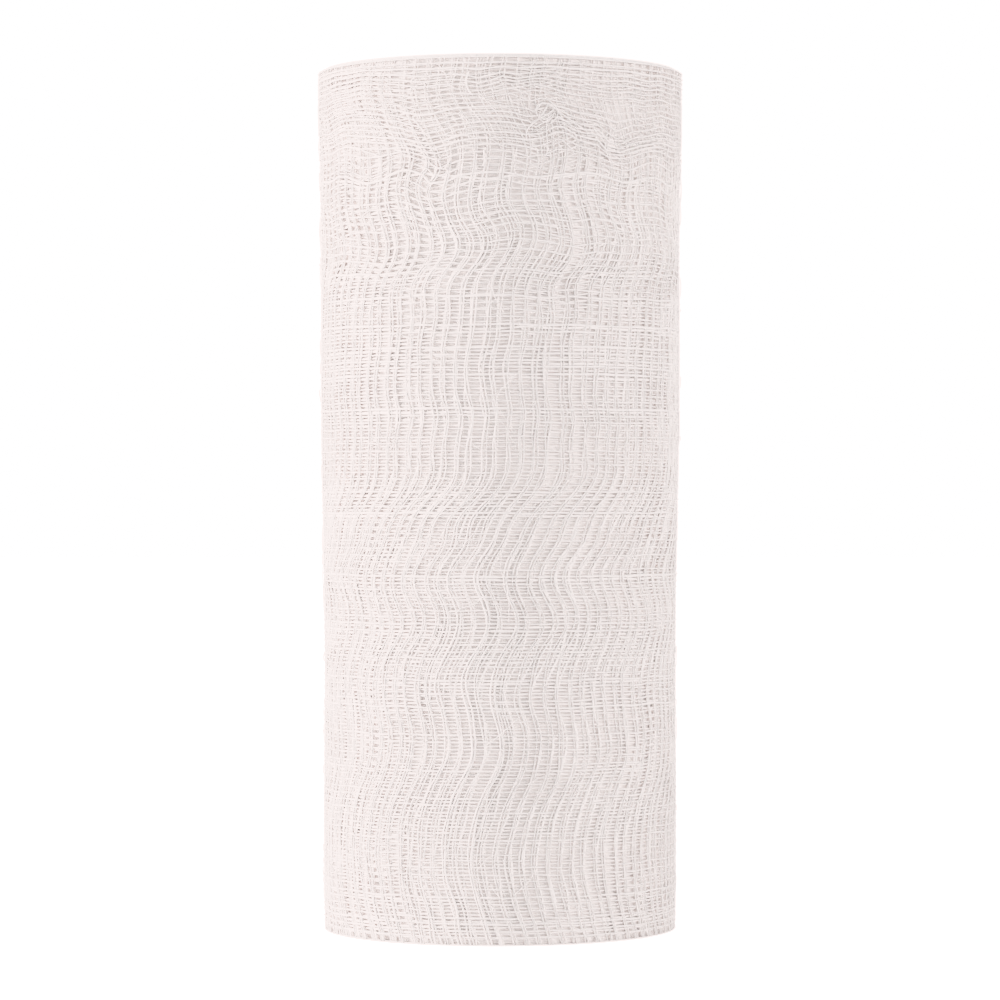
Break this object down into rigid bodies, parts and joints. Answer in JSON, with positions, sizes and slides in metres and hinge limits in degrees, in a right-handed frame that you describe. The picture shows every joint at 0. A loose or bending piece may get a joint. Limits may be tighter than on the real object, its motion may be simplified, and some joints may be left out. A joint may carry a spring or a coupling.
{
  "type": "gauze bandage roll",
  "caption": "Open-weave cotton gauze bandage wound tight into a slim plain roll that stands upright on one flat wound end.",
  "frame": {"origin": "middle of the flat wound end that the roll stands on", "axes": "+Z along the winding axis, up from the end it stands on; -Y faces the viewer of the picture; +X to the viewer's right"},
  "size_m": [0.0426, 0.0424, 0.1],
  "materials": {
    "cotton_gauze": "matt bleached cotton, open plain weave of fine soft threads, warm off-white"
  },
  "bodies": {
    "root": {"gauze_roll": "cotton_gauze"}
  },
  "joints": []
}
